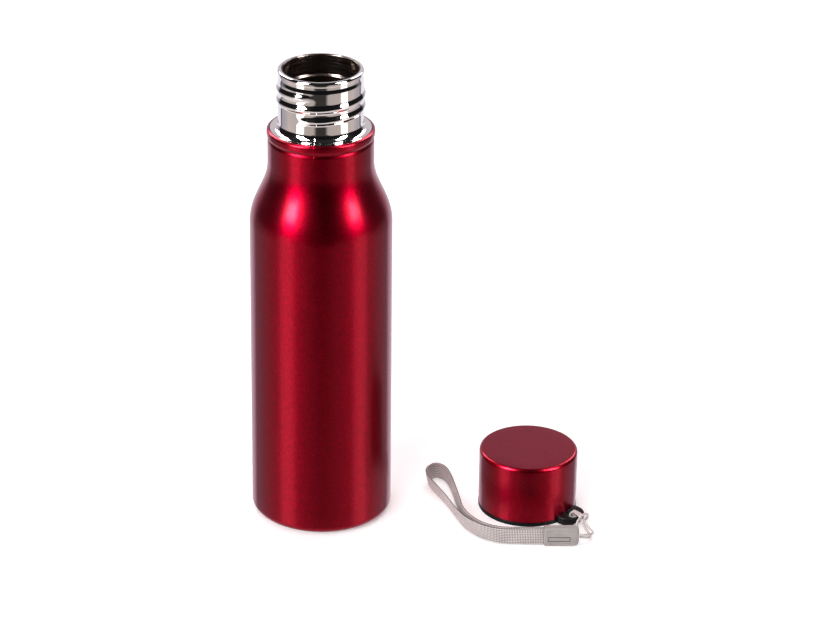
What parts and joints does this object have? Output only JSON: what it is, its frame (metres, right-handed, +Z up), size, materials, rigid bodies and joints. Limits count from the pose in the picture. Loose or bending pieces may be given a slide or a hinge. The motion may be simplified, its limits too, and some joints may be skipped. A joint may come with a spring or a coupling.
{
  "type": "drinking bottle",
  "caption": "Double-walled steel drinking bottle with a rolled thread on its neck, open beside its screw cap, which carries a webbing wrist strap on a lug.",
  "frame": {"origin": "on the floor, at the middle of the box round the bottle and its cap", "axes": "+Z up along the bottle's axis, +X from the bottle to the cap standing beside it, +Y away from the strap's clip"},
  "size_m": [0.1774, 0.085, 0.2445],
  "materials": {
    "red_paint": "satin metallic red lacquer with a fine sparkle",
    "polished_steel": "mirror polished stainless steel",
    "liner_steel": "electropolished stainless steel",
    "base_steel": "brushed stainless steel",
    "black_plastic": "satin black moulded polypropylene",
    "silicone": "translucent white silicone",
    "grey_plastic": "matte warm grey moulded plastic",
    "webbing": "ribbed woven polyester webbing, warm grey",
    "string": "braided polyester string, pale grey"
  },
  "bodies": {
    "bottle": {"outer_shell": "red_paint", "threaded_neck": "polished_steel", "inner_liner": "liner_steel", "liner_base": "liner_steel", "outer_base": "base_steel", "seal_bead": "base_steel", "base_disc": "base_steel", "getter": "base_steel"},
    "strap_ring": {"strap_ring": "black_plastic"},
    "cap": {"cap_shell": "red_paint", "cap_insert": "black_plastic", "cap_seal": "silicone"},
    "strap": {"strap_webbing": "webbing", "crimp_front": "grey_plastic", "crimp_back": "grey_plastic", "strap_string": "string"}
  },
  "joints": [
    {"name": "cap_lift", "type": "slide", "parent": "bottle", "child": "strap_ring", "axis": [0, 0, 1], "range_m": [0, 0.25]},
    {"name": "cap_turn", "type": "hinge", "parent": "strap_ring", "child": "cap", "pos_m": [0.05801, -0.0025, 0], "axis": [0, 0, 1], "continuous": true},
    {"name": "strap_swing", "type": "hinge", "parent": "strap_ring", "child": "strap", "pos_m": [0.08433, -0.02458, 0.0031], "axis": [0.6428, 0.766, 0], "range_deg": [-90, 150], "deforming": ["strap_string"]}
  ]
}
